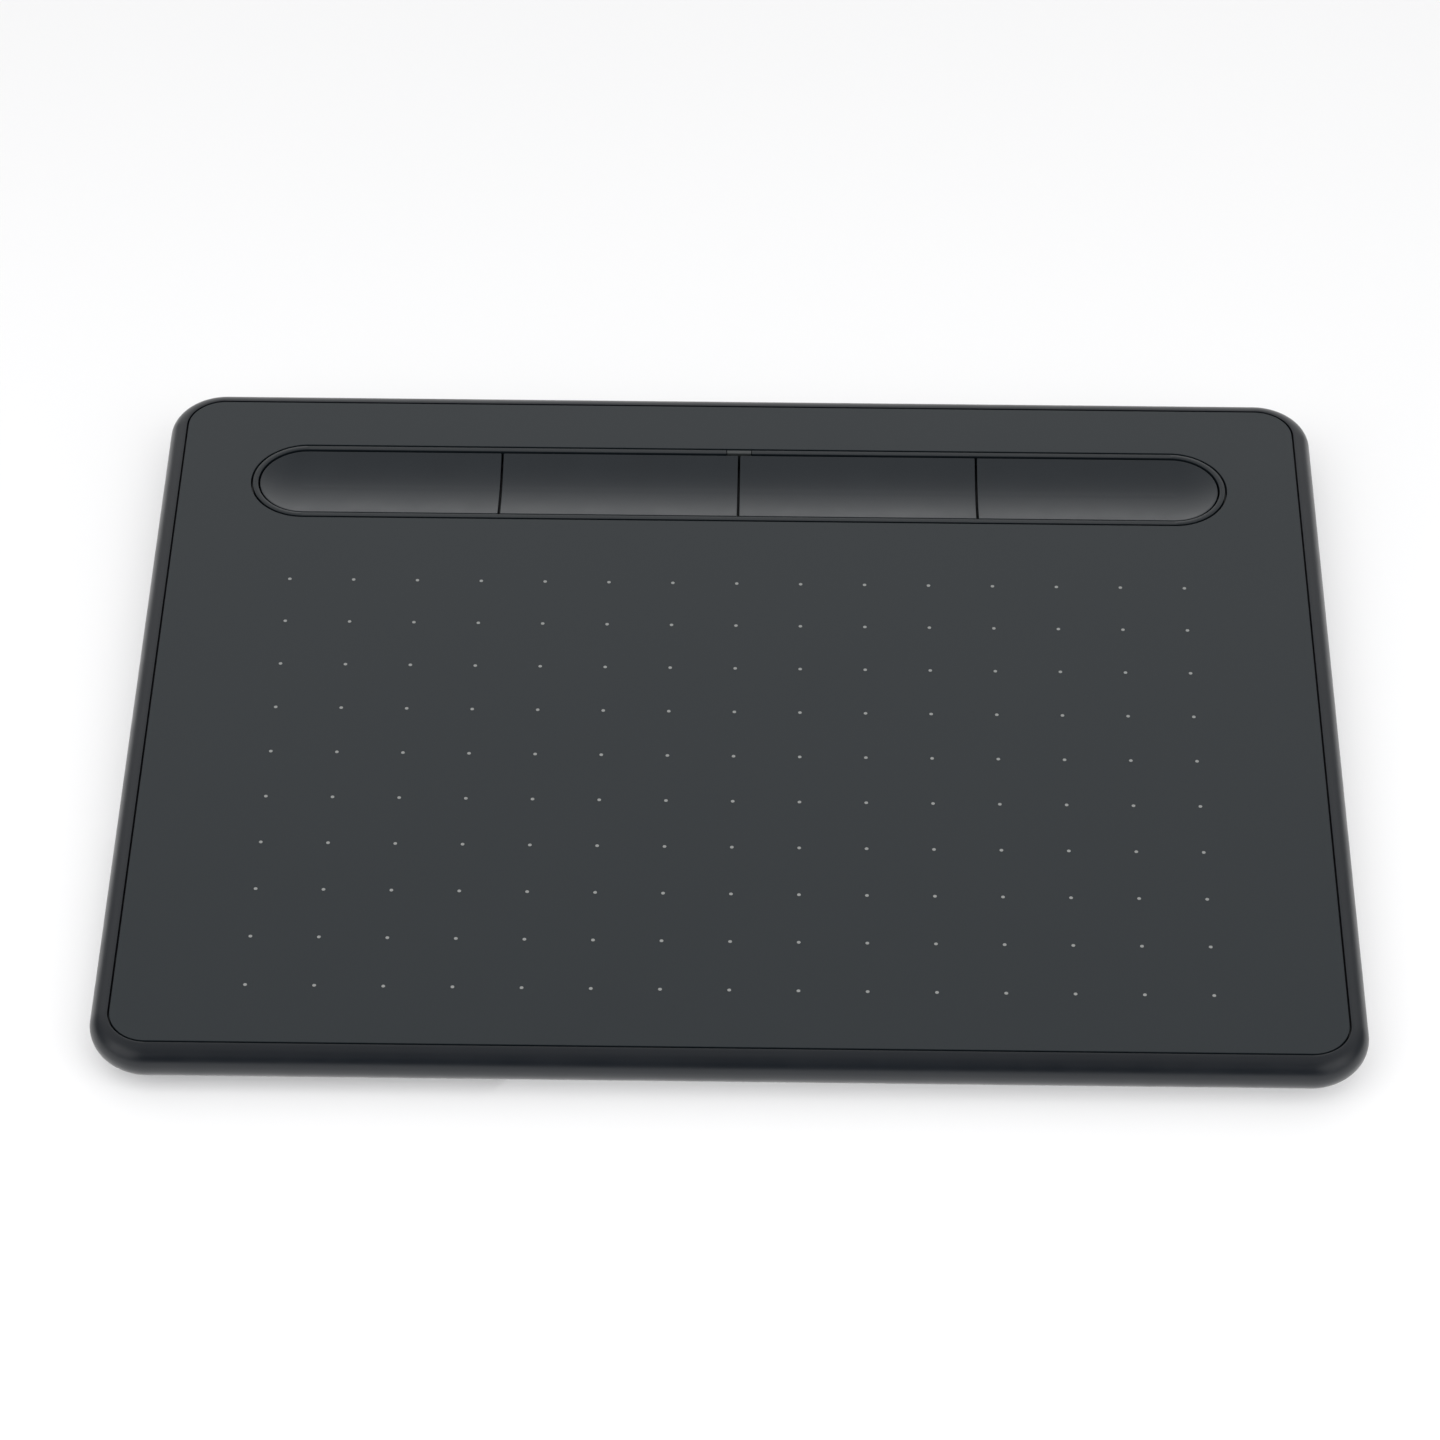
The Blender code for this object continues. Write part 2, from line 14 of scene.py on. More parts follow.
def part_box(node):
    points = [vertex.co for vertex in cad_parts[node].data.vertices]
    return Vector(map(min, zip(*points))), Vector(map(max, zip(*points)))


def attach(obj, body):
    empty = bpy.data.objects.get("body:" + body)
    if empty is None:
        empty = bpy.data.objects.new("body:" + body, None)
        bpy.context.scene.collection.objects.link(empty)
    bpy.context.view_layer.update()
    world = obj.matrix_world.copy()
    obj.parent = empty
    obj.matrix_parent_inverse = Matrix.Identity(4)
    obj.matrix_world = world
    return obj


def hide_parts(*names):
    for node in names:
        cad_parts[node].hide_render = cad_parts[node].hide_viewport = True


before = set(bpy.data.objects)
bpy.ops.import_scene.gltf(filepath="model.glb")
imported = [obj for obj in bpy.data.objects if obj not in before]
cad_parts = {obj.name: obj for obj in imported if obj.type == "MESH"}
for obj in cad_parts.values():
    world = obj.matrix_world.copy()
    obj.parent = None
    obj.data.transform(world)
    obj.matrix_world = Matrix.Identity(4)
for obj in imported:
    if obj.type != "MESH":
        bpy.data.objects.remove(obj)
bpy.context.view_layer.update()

MM = 0.001
MERGE = 1e-7
SHARP_ANGLE = math.radians(32)  # edges over this are shaded sharp
BEVEL_ANGLE = math.radians(38)  # edges over this are rounded

# Places and sizes that the frame gives
CASE_LOW, CASE_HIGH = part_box("rear_case")
PANEL_LOW, PANEL_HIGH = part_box("surface_panel")
BEZEL_LOW, BEZEL_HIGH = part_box("tray_bezel")
FLOOR_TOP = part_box("control_board")[0].z - 0.3 * MM
HALF_X = CASE_HIGH.x
HALF_Y = CASE_HIGH.y
TOP = PANEL_HIGH.z
UNDERSIDE = CASE_LOW.z
TRAY_Y = (BEZEL_LOW.y + BEZEL_HIGH.y) / 2
FLANGE_R = (BEZEL_HIGH.y - BEZEL_LOW.y) / 2
TRAY_HALF = BEZEL_HIGH.x - FLANGE_R  # half the length of the tray's centre line
KEY_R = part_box("shortcut_key_4")[1].x - TRAY_HALF
KEY_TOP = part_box("shortcut_key_1")[1].z + 0.05 * MM  # just proud of the CAD caps, so that the gaps read

# Case: the rim is an upper and a lower quarter ellipse that meet at the widest line
CORNER_R = 9.5 * MM
CORNER_STEPS = 24
WIDEST = 5.9 * MM
RIM_INSET = 2.86 * MM
RIM_EDGE = 0.08 * MM
UNDER_INSET = 6.4 * MM
RIM_STEPS = 16
UNDER_STEPS = 14
POCKET_INSET = 2.95 * MM
LEDGE = PANEL_LOW.z - 0.3 * MM
CAVITY_INSET = 4.0 * MM
GROOVE = 0.29 * MM  # between the drawing surface and the rim
PANEL_EDGE = 0.08 * MM
LIP = 0.25 * MM  # chamfer round the holes in the case
BOSS_R = 3.6 * MM
BOSS_TIP_R = 3.4 * MM
BOSS_SHOULDER = 3.2 * MM
BOSS_TOP = 3.4 * MM
HEAD_HOLE_R = 2.3 * MM
SHANK_HOLE_R = 1.3 * MM
SHANK_HOLE_TOP = 4.4 * MM

# Screws
HEAD_HEIGHT = 0.9 * MM
SHANK_R = 1.0 * MM
SHANK_ROOT_R = 0.82 * MM
THREAD_PITCH = 0.4 * MM

# Feet
FEET = ("foot_front_left", "foot_front_right", "foot_rear_left", "foot_rear_right")
FOOT_EDGE = 0.45 * MM
FOOT_EDGE_STEPS = 6

# Socket
SOCKET_WALL = 0.3 * MM
SOCKET_BEVEL = 1.0 * MM  # how much the shell's lower corners are cut off
SOCKET_CORNER = 0.45 * MM
CONTACTS = 5
CONTACT_PITCH = 0.65 * MM
CONTACT_HALF = 0.16 * MM

# Pen tray
CUTOUT_R = 9.54 * MM
RING_R = 9.20 * MM
RING_BORE_R = 8.25 * MM
RING_EDGE = 0.08 * MM
BORE_EDGE = 0.15 * MM
TRAY_STEPS = 24
FLANGE_TOP = 7.5 * MM
DISH_DEPTH = 1.4 * MM
DISH_STEPS = 16
KEY_EDGE = 0.17 * MM
KEY_EDGE_STEPS = 4
KEY_BASE = 6.2 * MM
LUG_TOP = 6.6 * MM
LUG_HALF = 4.0 * MM
PLUNGER_R = 2.0 * MM
WINDOW_GAP = 0.12 * MM
WINDOW_EDGE = 0.06 * MM

# Printed dots
DOT_COLUMNS = 15
DOT_ROWS = 10
ACTIVE_X = 152.0 * MM
ACTIVE_Y = 95.0 * MM
ACTIVE_MIDDLE_Y = -17.1 * MM
DOT_R = 0.30 * MM
DOT_HEIGHT = 0.012 * MM
DOT_SINK = 0.02 * MM

# Studio
CAMERA_AT = (6.3 * MM, -630.5 * MM, 606.6 * MM)
CAMERA_DOWN = math.radians(43.62)
CAMERA_TURN = math.radians(0.79)
CAMERA_ROLL = math.radians(0.08)
LENS = 131.07
SENSOR = 36.0
TABLE_GLOW = 1.2  # the table is overexposed, so it is brighter in reflections than it can look
SOFTBOX_AT = (1.10, -0.85, 0.85)
SOFTBOX_SIDE = 1.4
SOFTBOX_RADIANCE = 1.15
WASH_AT = (0, -1.1, 1.7)
WASH_SIDE = 2.0
WASH_RADIANCE = 2.8
SKY_STRENGTH = 2.0
SKY = (  # elevation in degrees and radiance: to the rear, to the sides, and towards the camera
    ((0, 1.1), (10, 1.35), (20, 1.05), (32, 1.0), (42, 0.72), (52, 0.5), (68, 0.43), (90, 0.5)),
    ((0, 0.15), (25, 0.25), (38, 0.6), (62, 0.65), (90, 0.5)),
    ((0, 0.04), (35, 0.06), (55, 0.09), (75, 0.35), (90, 0.5)),
)
SIDE_FADE = (math.radians(18), math.radians(52))  # turn from the rear over which each sector fades in
FRONT_FADE = (math.radians(105), math.radians(130))


# ---------------------------------------------------------------- shapes


def new_piece(name, bm):
    """The object of a finished bmesh, with merged points and faces that point out."""
    bmesh.ops.remove_doubles(bm, verts=bm.verts, dist=MERGE)
    bmesh.ops.recalc_face_normals(bm, faces=bm.faces)
    mesh = bpy.data.meshes.new(name)
    bm.to_mesh(mesh)
    bm.free()
    obj = bpy.data.objects.new(name, mesh)
    bpy.context.scene.collection.objects.link(obj)
    return obj


def rounded_outline(half_x, half_y, radius, z, steps=8, at=(0, 0)):
    """A rectangle with round corners at height z, anticlockwise. A radius of half_y gives a stadium."""
    points = []
    for corner, (side_x, side_y) in enumerate(((1, 1), (-1, 1), (-1, -1), (1, -1))):
        for step in range(steps + 1):
            angle = math.pi / 2 * (corner + step / steps)
            x = at[0] + side_x * (half_x - radius) + radius * math.cos(angle)
            y = at[1] + side_y * (half_y - radius) + radius * math.sin(angle)
            points.append(Vector((x, y, z)))
    return points


def spot(low, high):
    """The middle of a box, seen from above."""
    return (low.x + high.x) / 2, (low.y + high.y) / 2


def circle(radius, z, at, steps=8):
    """A circle at height z."""
    return rounded_outline(radius, radius, radius, z, steps, at)


def case_outline(inset, z):
    """The case's widest outline, moved in by inset."""
    return rounded_outline(HALF_X - inset, HALF_Y - inset, CORNER_R - inset, z, CORNER_STEPS)


def tray_outline(radius, z, steps=TRAY_STEPS):
    """The stadium at this offset from the tray's centre line."""
    return rounded_outline(TRAY_HALF + radius, radius, radius, z, steps, (0, TRAY_Y))


def rounded_polygon(corners, radius, steps=5):
    """A closed 2D outline whose corners are eased by short curves."""
    points = []
    count = len(corners)
    for i, corner in enumerate(corners):
        here = Vector(corner)
        before = Vector(corners[i - 1]) - here
        after = Vector(corners[(i + 1) % count]) - here
        start = here + before.normalized() * radius
        end = here + after.normalized() * radius
        for step in range(steps + 1):
            t = step / steps
            points.append(start * (1 - t) ** 2 + here * 2 * t * (1 - t) + end * t ** 2)
    return points


def loft(name, rings, closed=False):
    """Skin a stack of outlines with the same number of points. It is capped, or closed into a ring."""
    bm = bmesh.new()
    count = len(rings[0])
    rows = [[bm.verts.new(point) for point in ring] for ring in rings]
    pairs = list(zip(rows, rows[1:]))
    if closed:
        pairs.append((rows[-1], rows[0]))
    else:
        bm.faces.new(rows[0])
        bm.faces.new(rows[-1])
    for low, high in pairs:
        for i in range(count):
            j = (i + 1) % count
            bm.faces.new((low[i], low[j], high[j], high[i]))
    return new_piece(name, bm)


def block(name, low, high):
    """A plain box between two corners."""
    low = Vector(low)
    high = Vector(high)
    bm = bmesh.new()
    bmesh.ops.create_cube(bm, size=1)
    bmesh.ops.scale(bm, vec=high - low, verts=bm.verts)
    bmesh.ops.translate(bm, vec=(low + high) / 2, verts=bm.verts)
    return new_piece(name, bm)


def flat_plate(name, outlines, low, high, edge, steps=3):
    """A plate with rounded edges. The outlines are drawn in by edge, and an inner one is a hole."""
    curve = bpy.data.curves.new(name, "CURVE")
    curve.dimensions = "2D"
    curve.fill_mode = "BOTH"
    curve.bevel_depth = edge
    curve.bevel_resolution = steps
    curve.extrude = (high - low) / 2 - edge
    for outline in outlines:
        spline = curve.splines.new("POLY")
        spline.points.add(len(outline) - 1)
        for point, corner in zip(spline.points, outline):
            point.co = (corner.x, corner.y, 0, 1)
        spline.use_cyclic_u = True
    drawn = bpy.data.objects.new(name + "_outline", curve)
    bpy.context.scene.collection.objects.link(drawn)
    bm = bmesh.new()
    bm.from_mesh(evaluated_mesh(drawn))
    bmesh.ops.translate(bm, vec=(0, 0, (low + high) / 2), verts=bm.verts)
    bpy.data.objects.remove(drawn)
    return new_piece(name, bm)


def evaluated_mesh(obj):
    """A copy of the object's mesh with its modifiers applied."""
    bpy.context.view_layer.update()
    depsgraph = bpy.context.evaluated_depsgraph_get()
    return bpy.data.meshes.new_from_object(obj.evaluated_get(depsgraph), depsgraph=depsgraph)


def settle(obj):
    """Replace the object's mesh and modifiers by the mesh that they make."""
    mesh = evaluated_mesh(obj)
    obj.modifiers.clear()
    obj.data = mesh


def combine(obj, other, operation):
    """Apply a Boolean with a helper, and remove the helper."""
    modifier = obj.modifiers.new("boolean", "BOOLEAN")
    modifier.operation = operation
    modifier.solver = "EXACT"
    modifier.object = other
    settle(obj)
    bpy.data.objects.remove(other)


def cut(obj, cutter):
    """Take the cutter's shape out of the object."""
    combine(obj, cutter, "DIFFERENCE")


def ease_edges(obj, width, segments):
    """Round every sharp edge."""
    modifier = obj.modifiers.new("edges", "BEVEL")
    modifier.width = width
    modifier.segments = segments
    modifier.limit_method = "ANGLE"
    modifier.angle_limit = BEVEL_ANGLE
    settle(obj)


def smooth(obj):
    """Shade smooth, with flat faces kept flat."""
    obj.data.shade_smooth()
    obj.data.set_sharp_from_angle(angle=SHARP_ANGLE)
    modifier = obj.modifiers.new("normals", "WEIGHTED_NORMAL")
    modifier.keep_sharp = True
    modifier.weight = 100


def place(obj, body, material, slot, *nodes):
    """Finish a piece: its shading, material and body, and the CAD nodes that it stands for. The slot is not
    used.
    """
    smooth(obj)
    obj.data.materials.clear()
    obj.data.materials.append(material)
    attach(obj, body)
    if nodes:
        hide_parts(*nodes)


# ---------------------------------------------------------------- materials


class Shader:
    """A Principled material under construction, with helpers for its pattern nodes."""

    def __init__(self, name, colour, roughness, metallic=0.0, specular=0.5):
        self.material = bpy.data.materials.new(name)
        self.material.use_nodes = True
        self.nodes = self.material.node_tree.nodes
        self.links = self.material.node_tree.links
        self.surface = self.nodes["Principled BSDF"]
        self.colour = colour
        self.roughness = roughness
        self.set("Base Color", (*colour, 1.0))
        self.set("Roughness", roughness)
        self.set("Metallic", metallic)
        self.set("Specular IOR Level", specular)
        self.coordinates = self.nodes.new("ShaderNodeTexCoord").outputs["Object"]
        self.bump_chain = None

    def set(self, socket, value):
        """A value that is the same all over the surface."""
        self.surface.inputs[socket].default_value = value

    def noise(self, size, detail=2.0, rough=0.5, stretch=(1, 1, 1)):
        """A noise pattern whose lumps are about size across, in metres."""
        mapping = self.nodes.new("ShaderNodeMapping")
        mapping.inputs["Scale"].default_value = Vector(stretch) / size
        self.links.new(self.coordinates, mapping.inputs["Vector"])
        texture = self.nodes.new("ShaderNodeTexNoise")
        texture.inputs["Scale"].default_value = 1.0
        texture.inputs["Detail"].default_value = detail
        texture.inputs["Roughness"].default_value = rough
        self.links.new(mapping.outputs["Vector"], texture.inputs["Vector"])
        return texture.outputs["Fac"]

    def spread(self, pattern, low, high):
        """A pattern mapped from its middle range to a range of values."""
        ramp = self.nodes.new("ShaderNodeMapRange")
        ramp.inputs["From Min"].default_value = 0.3
        ramp.inputs["From Max"].default_value = 0.7
        ramp.inputs["To Min"].default_value = low
        ramp.inputs["To Max"].default_value = high
        self.links.new(pattern, ramp.inputs["Value"])
        return ramp.outputs["Result"]

    def vary_roughness(self, pattern, amount):
        """Roughness that follows a pattern, this much either way."""
        value = self.spread(pattern, self.roughness - amount, self.roughness + amount)
        self.links.new(value, self.surface.inputs["Roughness"])

    def vary_colour(self, pattern, other):
        """A colour that moves between the base colour and another one."""
        mix = self.nodes.new("ShaderNodeMix")
        mix.data_type = "RGBA"
        mix.inputs["A"].default_value = (*self.colour, 1.0)
        mix.inputs["B"].default_value = (*other, 1.0)
        self.links.new(self.spread(pattern, 0.0, 1.0), mix.inputs["Factor"])
        self.links.new(mix.outputs["Result"], self.surface.inputs["Base Color"])

    def bump(self, pattern, height):
        """Relief of this height, in metres, on top of any relief so far."""
        node = self.nodes.new("ShaderNodeBump")
        node.inputs["Strength"].default_value = 1.0
        node.inputs["Distance"].default_value = height
        self.links.new(pattern, node.inputs["Height"])
        if self.bump_chain is not None:
            self.links.new(self.bump_chain, node.inputs["Normal"])
        self.bump_chain = node.outputs["Normal"]
        self.links.new(self.bump_chain, self.surface.inputs["Normal"])


def moulded(name, colour, roughness, grain, relief):
    """Moulded plastic with a fine spark-eroded grain and slight clouding."""
    shader = Shader(name, colour, roughness)
    clouds = shader.noise(14 * MM, 3)
    shader.vary_colour(clouds, tuple(value * 1.12 for value in colour))
    shader.vary_roughness(shader.noise(5 * MM, 4), 0.03)
    shader.bump(shader.noise(grain, 3, 0.6), relief)
    return shader.material


def make_case_plastic():
    """The near-black matte case."""
    return moulded("case_plastic", (0.0080, 0.0115, 0.0170), 0.36, 0.22 * MM, 0.006 * MM)


def make_panel_plastic():
    """The drawing surface: a paper-like grain with a fine tooth that a pen can feel."""
    shader = Shader("drawing_surface", (0.0155, 0.0235, 0.0295), 0.33)
    shader.vary_colour(shader.noise(30 * MM, 2), (0.0165, 0.0245, 0.0305))
    shader.vary_roughness(shader.noise(9 * MM, 4), 0.02)
    shader.bump(shader.noise(0.16 * MM, 2, 0.7), 0.005 * MM)
    shader.bump(shader.noise(0.6 * MM, 2), 0.003 * MM)
    return shader.material


def make_key_plastic():
    """Satin moulded keys."""
    return moulded("key_plastic", (0.0190, 0.0250, 0.0315), 0.31, 0.18 * MM, 0.004 * MM)


def make_ring_plastic():
    """The satin bezel ring."""
    return moulded("ring_plastic", (0.0120, 0.0175, 0.0225), 0.34, 0.18 * MM, 0.004 * MM)


def make_dot_ink():
    """Pale grey printing ink."""
    shader = Shader("dot_ink", (0.50, 0.51, 0.50), 0.6)
    shader.vary_colour(shader.noise(0.15 * MM), (0.43, 0.44, 0.43))
    return shader.material


def make_window_plastic():
    """The smoky translucent window of the status light."""
    shader = Shader("window_plastic", (0.060, 0.068, 0.070), 0.30)
    shader.vary_roughness(shader.noise(0.8 * MM), 0.03)
    return shader.material


def make_rubber():
    """Matte black rubber."""
    shader = Shader("foot_rubber", (0.018, 0.018, 0.019), 0.82, specular=0.35)
    shader.vary_colour(shader.noise(3 * MM, 4), (0.026, 0.026, 0.027))
    shader.bump(shader.noise(0.25 * MM, 4, 0.65), 0.02 * MM)
    return shader.material


def make_black_steel():
    """Black oxide screws, a little lighter in random patches."""
    shader = Shader("black_steel", (0.045, 0.045, 0.05), 0.36, metallic=1.0)
    shader.vary_colour(shader.noise(0.7 * MM, 4), (0.09, 0.088, 0.09))
    shader.vary_roughness(shader.noise(0.3 * MM, 3), 0.08)
    return shader.material


def make_plated_steel():
    """Nickel-plated sheet."""
    shader = Shader("plated_steel", (0.60, 0.59, 0.57), 0.24, metallic=1.0)
    shader.vary_roughness(shader.noise(0.3 * MM, 4, stretch=(1, 0.1, 1)), 0.08)
    shader.bump(shader.noise(0.12 * MM, 2, stretch=(1, 0.06, 1)), 0.0015 * MM)
    return shader.material


def make_gold():
    """Gold-plated contacts."""
    shader = Shader("gold_contact", (0.83, 0.60, 0.25), 0.22, metallic=1.0)
    shader.vary_roughness(shader.noise(0.1 * MM), 0.05)
    return shader.material


def make_black_nylon():
    """Glass-filled nylon, as in the socket's tongue and the switch bodies."""
    return moulded("black_nylon", (0.012, 0.012, 0.013), 0.5, 0.1 * MM, 0.004 * MM)


def make_frame_plastic():
    """The grey inner mouldings."""
    return moulded("frame_plastic", (0.055, 0.056, 0.06), 0.55, 0.4 * MM, 0.01 * MM)


def make_connector_plastic():
    """The cream plastic of ribbon connectors and switch buttons."""
    return moulded("connector_plastic", (0.70, 0.66, 0.55), 0.45, 0.1 * MM, 0.004 * MM)


def make_board(name, pitch):
    """Green solder mask over a lattice of copper tracks."""
    shader = Shader(name, (0.006, 0.075, 0.030), 0.34)
    lattice = None
    for turn in (0.0, math.pi / 2):
        mapping = shader.nodes.new("ShaderNodeMapping")
        mapping.inputs["Rotation"].default_value = (0, 0, turn)
        shader.links.new(shader.coordinates, mapping.inputs["Vector"])
        wave = shader.nodes.new("ShaderNodeTexWave")
        wave.inputs["Scale"].default_value = math.pi / (10 * pitch)
        shader.links.new(mapping.outputs["Vector"], wave.inputs["Vector"])
        track = shader.nodes.new("ShaderNodeMath")
        track.operation = "GREATER_THAN"
        track.inputs[1].default_value = 0.93
        shader.links.new(wave.outputs["Fac"], track.inputs[0])
        if lattice is None:
            lattice = track.outputs["Value"]
            continue
        either = shader.nodes.new("ShaderNodeMath")
        either.operation = "MAXIMUM"
        shader.links.new(lattice, either.inputs[0])
        shader.links.new(track.outputs["Value"], either.inputs[1])
        lattice = either.outputs["Value"]
    shader.vary_colour(lattice, (0.015, 0.16, 0.055))
    shader.bump(lattice, 0.02 * MM)
    return shader.material


def make_foil():
    """The rolled aluminium shield."""
    shader = Shader("shield_foil", (0.72, 0.73, 0.74), 0.32, metallic=1.0)
    shader.vary_roughness(shader.noise(0.8 * MM, 4, stretch=(0.03, 1, 1)), 0.1)
    shader.bump(shader.noise(0.5 * MM, 3, stretch=(0.03, 1, 1)), 0.002 * MM)
    return shader.material


def make_ribbon_film():
    """Amber film over parallel copper conductors."""
    shader = Shader("ribbon_film", (0.42, 0.20, 0.035), 0.3)
    wave = shader.nodes.new("ShaderNodeTexWave")
    wave.inputs["Scale"].default_value = math.pi / (10 * 1.0 * MM)
    shader.links.new(shader.coordinates, wave.inputs["Vector"])
    shader.vary_colour(wave.outputs["Fac"], (0.60, 0.34, 0.10))
    shader.bump(wave.outputs["Fac"], 0.02 * MM)
    return shader.material


def make_led_resin():
    """The clear yellowish lens of the status light."""
    shader = Shader("led_resin", (0.80, 0.76, 0.55), 0.18)
    shader.vary_roughness(shader.noise(0.2 * MM), 0.04)
    return shader.material


MATERIALS = {
    "case": make_case_plastic(),
    "panel": make_panel_plastic(),
    "key": make_key_plastic(),
    "ring": make_ring_plastic(),
    "ink": make_dot_ink(),
    "window": make_window_plastic(),
    "rubber": make_rubber(),
    "black_steel": make_black_steel(),
    "steel": make_plated_steel(),
    "gold": make_gold(),
    "nylon": make_black_nylon(),
    "frame": make_frame_plastic(),
    "connector": make_connector_plastic(),
    "board": make_board("board_mask", 1.2 * MM),
    "sensor_board": make_board("sensor_mask", 6.0 * MM),
    "foil": make_foil(),
    "ribbon": make_ribbon_film(),
    "led": make_led_resin(),
}


# ---------------------------------------------------------------- pieces


def case_profile():
    """Inset and height along the shell's section, from its inner floor over the rim to the underside."""
    profile = [
        (CAVITY_INSET, FLOOR_TOP),
        (CAVITY_INSET, LEDGE),
        (POCKET_INSET, LEDGE),
    ]
    for step in range(4):
        angle = math.pi / 2 * step / 3
        inset = POCKET_INSET - RIM_EDGE * (1 - math.cos(angle))
        profile.append((inset, TOP - RIM_EDGE * (1 - math.sin(angle))))
    for step in range(1, RIM_STEPS + 1):
        angle = math.pi / 2 * step / RIM_STEPS
        profile.append((RIM_INSET * (1 - math.sin(angle)), WIDEST + (TOP - WIDEST) * math.cos(angle)))
    for step in range(1, UNDER_STEPS + 1):
        angle = math.pi / 2 * step / UNDER_STEPS
        z = WIDEST - (WIDEST - UNDERSIDE) * math.sin(angle)
        profile.append((UNDER_INSET * (1 - math.cos(angle)), z))
    return profile


def socket_section(grow, y):
    """The socket's section in an XZ plane: a rectangle whose two lower corners are cut off."""
    low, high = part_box("usb_socket_shell")
    half_x = high.x + grow
    foot = half_x - SOCKET_BEVEL
    shoulder = low.z - grow + SOCKET_BEVEL
    right = ((foot, low.z - grow), (half_x, shoulder), (half_x, high.z + grow))
    left = [(-x, z) for x, z in reversed(right)]
    outline = rounded_polygon([*right, *left], SOCKET_CORNER)
    return [Vector((point.x, y, point.y)) for point in outline]


def add_screw_place(case, number):
    """A boss inside the case for one screw, and the stepped hole through it."""
    at = spot(*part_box(f"case_screw_{number}"))
    boss = ((BOSS_R, FLOOR_TOP - 0.2 * MM), (BOSS_R, BOSS_SHOULDER), (BOSS_TIP_R, BOSS_TOP))
    combine(case, loft("boss", [circle(r, z, at) for r, z in boss]), "UNION")
    hole = (
        (HEAD_HOLE_R + 2 * LIP, UNDERSIDE - LIP),
        (HEAD_HOLE_R, UNDERSIDE + LIP),
        (HEAD_HOLE_R, FLOOR_TOP),
        (SHANK_HOLE_R, FLOOR_TOP),
        (SHANK_HOLE_R, SHANK_HOLE_TOP),
    )
    cut(case, loft("hole", [circle(r, z, at, 12) for r, z in hole]))


def cut_foot_recess(case, name):
    """The shallow recess that a foot is glued into."""
    low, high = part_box(name)
    half = (high - low) / 2
    rings = []
    for grow, z in ((3 * LIP, UNDERSIDE - LIP), (LIP, UNDERSIDE + LIP), (LIP, high.z + 0.3 * MM)):
        rings.append(rounded_outline(half.x + grow, half.y + grow, half.y + grow, z, 16, spot(low, high)))
    cut(case, loft("recess", rings))


def make_case():
    """The lower shell with its rim, screw bosses, foot recesses and socket hole."""
    case = loft("case_shell", [case_outline(inset, z) for inset, z in case_profile()])
    for number in range(1, 7):
        add_screw_place(case, number)
    for name in FEET:
        cut_foot_recess(case, name)
    flare = ((0.3, 8), (0.3, 2), (0.8, 0.5), (1.0, -1))  # gap round the socket and depth from the rear, in mm
    hole = [socket_section(gap * MM, HALF_Y - depth * MM) for gap, depth in flare]
    cut(case, loft("socket_hole", hole))
    place(case, "chassis", MATERIALS["case"], "case_plastic", "rear_case")


def make_panel():
    """The drawing surface, with softened edges and the tray's cut-out."""
    inset = POCKET_INSET + GROOVE + PANEL_EDGE
    outer = case_outline(inset, 0)
    hole = tray_outline(CUTOUT_R + PANEL_EDGE, 0)
    panel = flat_plate("drawing_panel", (outer, hole), PANEL_LOW.z, TOP, PANEL_EDGE)
    place(panel, "chassis", MATERIALS["panel"], "drawing_surface", "surface_panel")


def make_dots():
    """The printed grid over the active area, one thin disc for each dot."""
    bm = bmesh.new()
    for column in range(DOT_COLUMNS):
        for row in range(DOT_ROWS):
            x = ACTIVE_X * (column / (DOT_COLUMNS - 1) - 0.5)
            y = ACTIVE_MIDDLE_Y + ACTIVE_Y * (row / (DOT_ROWS - 1) - 0.5)
            centre = Vector((x, y, TOP + (DOT_HEIGHT - DOT_SINK) / 2))
            bmesh.ops.create_cone(
                bm,
                cap_ends=True,
                segments=16,
                radius1=DOT_R,
                radius2=DOT_R,
                depth=DOT_HEIGHT + DOT_SINK,
                matrix=Matrix.Translation(centre),
            )
    place(new_piece("grid_dots", bm), "chassis", MATERIALS["ink"], "drawing_surface")


def make_ring():
    """The bezel ring round the keys, with its flange and the slot for the status window."""
    part = 1 - math.sqrt(0.5)
    sections = [
        (FLANGE_R, BEZEL_LOW.z),
        (FLANGE_R, FLANGE_TOP),
        (RING_R, FLANGE_TOP),
        (RING_R, TOP - RING_EDGE),
        (RING_R - RING_EDGE * part, TOP - RING_EDGE * part),
        (RING_R - RING_EDGE, TOP),
        (RING_BORE_R + BORE_EDGE, TOP),
        (RING_BORE_R + BORE_EDGE * part, TOP - BORE_EDGE * part),
        (RING_BORE_R, TOP - BORE_EDGE),
        (RING_BORE_R, BEZEL_LOW.z),
    ]
    ring = loft("tray_ring", [tray_outline(radius, z) for radius, z in sections], closed=True)
    low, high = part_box("status_light_guide")
    slot_low = (low.x - WINDOW_GAP, low.y - 1 * MM, BEZEL_LOW.z - 1 * MM)
    slot_high = (high.x + WINDOW_GAP, TRAY_Y + RING_R + 0.1 * MM, TOP + 1 * MM)
    cut(ring, block("window_slot", slot_low, slot_high))
    place(ring, "chassis", MATERIALS["ring"], "bezel_plastic", "tray_bezel")


def make_window():
    """The status window and the light guide below it, let into the ring."""
    low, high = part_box("status_light_guide")
    bore = TRAY_Y + RING_BORE_R + WINDOW_GAP
    outside = TRAY_Y + RING_R - 0.02 * MM
    window = block("status_window", (low.x, bore, low.z), (high.x, outside, TOP - 0.03 * MM))
    ease_edges(window, WINDOW_EDGE, 2)
    place(window, "chassis", MATERIALS["window"], "light_guide", "status_light_guide")


